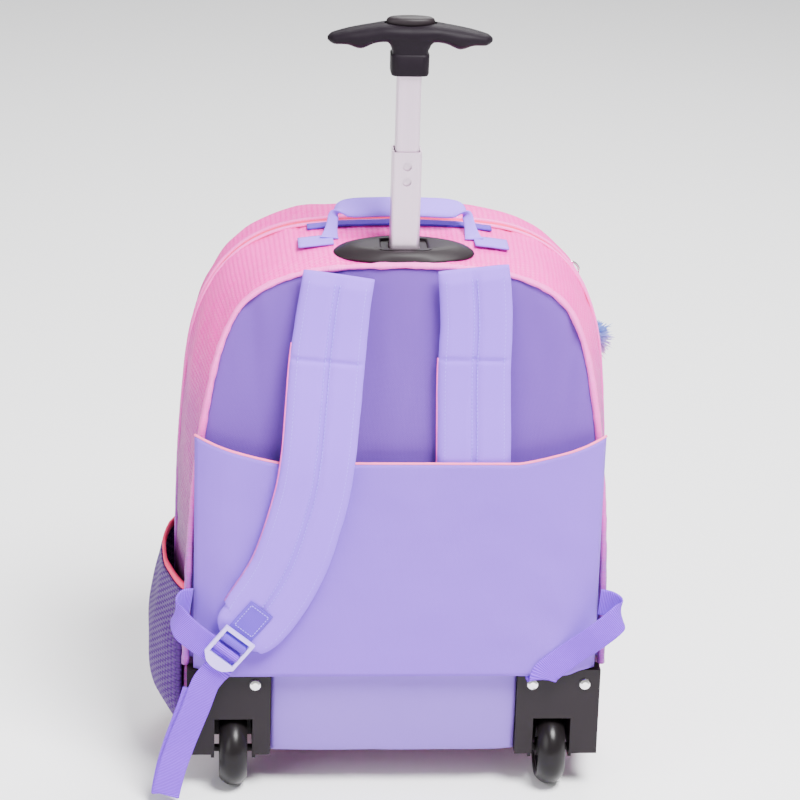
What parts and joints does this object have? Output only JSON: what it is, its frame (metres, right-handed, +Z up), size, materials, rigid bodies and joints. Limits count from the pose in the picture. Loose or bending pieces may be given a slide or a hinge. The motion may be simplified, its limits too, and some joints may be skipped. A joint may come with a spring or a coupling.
{
  "type": "wheeled backpack",
  "caption": "Child size trolley backpack with hollow fabric shells, padded straps, stow pocket, telescopic T grip with push button and corner wheels.",
  "frame": {"origin": "on the ground under the middle of the whole object", "axes": "+Z up, -Y towards the wearer side with straps and wheels, +X to the right seen from that side"},
  "size_m": [0.3758, 0.2288, 0.622],
  "materials": {
    "shell_fabric": "shiny basket weave, pink fading to purple at the foot",
    "zip": "woven zip tape",
    "panel_fabric": "matt lavender weave",
    "pale_fabric": "matt pale lavender weave",
    "piping": "satin binding",
    "coral_binding": "elastic binding",
    "webbing": "ribbed webbing",
    "dark_webbing": "ribbed webbing",
    "pocket_mesh": "knitted mesh",
    "buckle_plastic": "moulded, slightly glossy",
    "black_plastic": "fine moulded grain",
    "wheel_rubber": "satin",
    "wheel_hub": "satin",
    "aluminium": "satin anodised",
    "chrome": "polished",
    "fur": "long pile, blue over pink"
  },
  "bodies": {
    "bag": {"rear_shell": "shell_fabric", "front_shell": "shell_fabric", "zip_tape": "zip", "back_panel": "panel_fabric", "back_piping": "piping", "front_piping": "piping", "bottom_panel": "pale_fabric", "stow_cover": "pale_fabric", "cover_binding": "coral_binding", "strap_left": "pale_fabric", "strap_right": "pale_fabric", "strap_patch": "webbing", "strap_buckle": "buckle_plastic", "web_left": "webbing", "web_right": "webbing", "side_pocket": "pocket_mesh", "pocket_binding": "coral_binding", "grab_handle": "pale_fabric", "handle_base": "dark_webbing", "tab_left": "webbing", "tab_right": "webbing", "collar": "black_plastic", "tube_sleeve": "aluminium", "key_ring": "chrome", "pompom": "fur", "bracket_left": "black_plastic", "rivet_inner_left": "chrome", "rivet_outer_left": "chrome", "wheel_axle_left": "chrome", "foot_left": "black_plastic", "bracket_right": "black_plastic", "rivet_inner_right": "chrome", "rivet_outer_right": "chrome", "wheel_axle_right": "chrome", "foot_right": "black_plastic"},
    "lower_stage": {"lower_tube": "aluminium"},
    "upper_stage": {"upper_tube": "aluminium", "grip": "black_plastic"},
    "button": {"grip_button": "black_plastic"},
    "wheel_left": {"tyre_left": "wheel_rubber", "hub_left": "wheel_hub"},
    "wheel_right": {"tyre_right": "wheel_rubber", "hub_right": "wheel_hub"}
  },
  "joints": [
    {"name": "lower_stage_slide", "type": "slide", "parent": "bag", "child": "lower_stage", "axis": [0, 0, 1], "range_m": [-0.068, 0.16]},
    {"name": "upper_stage_slide", "type": "slide", "parent": "lower_stage", "child": "upper_stage", "axis": [0, 0, 1], "range_m": [-0.055, 0.16]},
    {"name": "button_press", "type": "slide", "parent": "upper_stage", "child": "button", "axis": [0, 0, 1], "range_m": [-0.003, 0], "stiffness_N_per_m": 400, "springref_m": 0.0005},
    {"name": "wheel_left_spin", "type": "hinge", "parent": "bag", "child": "wheel_left", "pos_m": [-0.12091, -0.07253, 0.03], "axis": [1, 0, 0], "continuous": true},
    {"name": "wheel_right_spin", "type": "hinge", "parent": "bag", "child": "wheel_right", "pos_m": [0.13209, -0.07253, 0.03], "axis": [1, 0, 0], "continuous": true}
  ]
}
